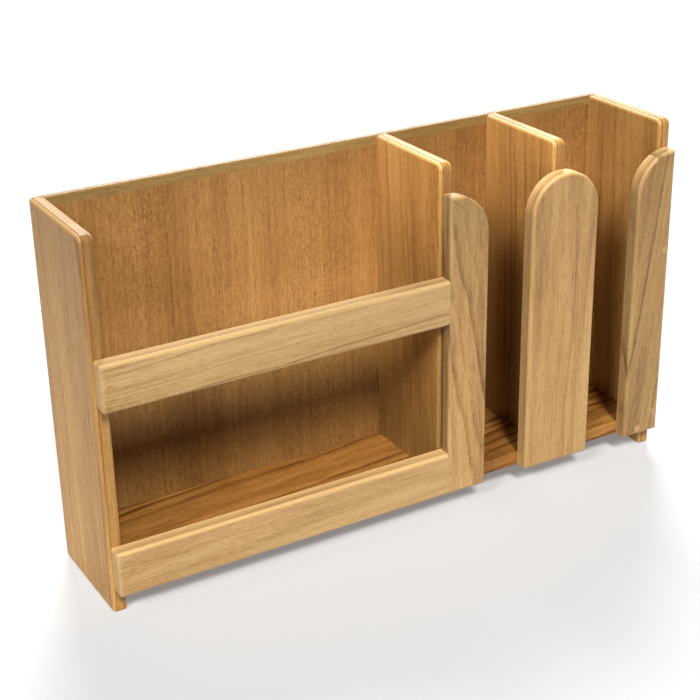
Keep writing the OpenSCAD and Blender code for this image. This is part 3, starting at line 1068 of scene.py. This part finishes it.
screw_sizes = {"Diameter": SCREW_D, "Head diameter": SCREW_HEAD_D, "Length": SCREW_LEN}
screws = screw_tree()
screw_places = [(x, y_face + PLUG_DEPTH, z) for x, z in front_screws]
inward = {**screw_sizes, "Turn": -math.pi / 2}
fixings("front_screws", "brass_screws", screw_places, screws, inward, seed=7)
under_places = [(x, y, z_foot) for x, y in under_screws]
fixings("shelf_screws", "brass_screws", under_places, screws, {**screw_sizes, "Turn": 0.0}, seed=9)

y_dowel = (y_face + y_panel) / 2
dowel_places = [
    (low("left_slat").x, y_dowel, z + side * DOWEL_PITCH / 2)
    for z in screw_heights for side in (-1, 1)]
dowel_sizes = {"Diameter": DOWEL_D, "Length": DOWEL_LEN}
fixings("rail_dowels", "dowels", dowel_places, dowel_tree(), dowel_sizes, seed=2)

pin_sizes = {
    "Diameter": PIN_D, "Head diameter": PIN_HEAD_D, "Head height": PIN_HEAD_T, "Length": PIN_LEN}
pin_places = [(x, y_rear, z) for x, z in pins]
fixings("back_pins", "steel_pins", pin_places, pin_tree(), pin_sizes, seed=5)

# ---- Floor, light and camera ----

FLOOR_GLOW = 0.22           # light from below, as on a lit table
FLOOR_HALF = 30             # metres
FLOOR_T = 0.02


def pale_floor():
    """Wide plain floor with a very slight unevenness, which glows a little and so lights the rack from
    below.
    """
    graph = WoodGraph("floor")
    place = graph.add("ShaderNodeTexCoord").output("Object")
    cloud = graph.noise(place, 0.5, detail=1.0)
    colour = graph.mix(cloud + 0.5, grey(0.44), grey(0.46))
    sockets = {
        "Base Color": colour, "Roughness": 0.9 + cloud * 0.05,
        "Emission Color": grey(1.0), "Emission Strength": FLOOR_GLOW,
    }
    shader = graph.add("ShaderNodeBsdfPrincipled", {}, sockets)
    graph.add("ShaderNodeOutputMaterial", {}, [shader])
    near_corner = Vector((-FLOOR_HALF, -FLOOR_HALF, -FLOOR_T))
    far_corner = Vector((FLOOR_HALF, FLOOR_HALF, 0))
    floor = to_object("floor", block(near_corner, far_corner))
    floor.data.materials.append(graph.material)


def soft_sun(name, azimuth, elevation, strength, spread):
    """Wide far light. Azimuth is measured from the front towards +X, spread is its angle across."""
    data = bpy.data.lights.new(name, "SUN")
    data.energy = strength
    data.angle = math.radians(spread)
    lamp = bpy.data.objects.new(name, data)
    a, e = math.radians(azimuth), math.radians(elevation)
    toward = Vector((math.sin(a) * math.cos(e), -math.cos(a) * math.cos(e), math.sin(e)))
    lamp.location = toward
    lamp.rotation_euler = toward.to_track_quat("Z", "Y").to_euler()
    bpy.context.scene.collection.objects.link(lamp)


def set_world(strength):
    world = bpy.data.worlds.new("studio")
    world.use_nodes = True
    background = world.node_tree.nodes["Background"]
    background.inputs["Color"].default_value = grey(1.0)
    background.inputs["Strength"].default_value = strength
    bpy.context.scene.world = world


pale_floor()
soft_sun("key", azimuth=-15, elevation=47, strength=3.6, spread=13)
soft_sun("left", azimuth=-60, elevation=38, strength=1.7, spread=16)
soft_sun("behind", azimuth=150, elevation=36, strength=4.7, spread=28)
set_world(strength=0.02)

CAMERA_PLACE = Vector((-0.6009, -0.9976, 0.6728))
AZIMUTH, ELEVATION, ROLL = (math.radians(a) for a in (-29.948, 24.509, -1.090))
LENS = 78.41                # millimetres
FILM_W = 36.0


def set_camera():
    data = bpy.data.cameras.new("camera")
    data.lens = LENS
    data.sensor_width = FILM_W
    back = Vector((
        math.sin(AZIMUTH) * math.cos(ELEVATION), -math.cos(AZIMUTH) * math.cos(ELEVATION),
        math.sin(ELEVATION)))
    level = Vector((math.cos(AZIMUTH), math.sin(AZIMUTH), 0))
    upright = back.cross(level)
    right = level * math.cos(ROLL) + upright * math.sin(ROLL)
    up = upright * math.cos(ROLL) - level * math.sin(ROLL)
    axes = Matrix((right, up, back)).transposed().to_4x4()
    camera = bpy.data.objects.new("camera", data)
    camera.matrix_world = Matrix.Translation(CAMERA_PLACE) @ axes
    bpy.context.scene.collection.objects.link(camera)
    bpy.context.scene.camera = camera


set_camera()
bpy.context.scene.view_settings.view_transform = "Standard"
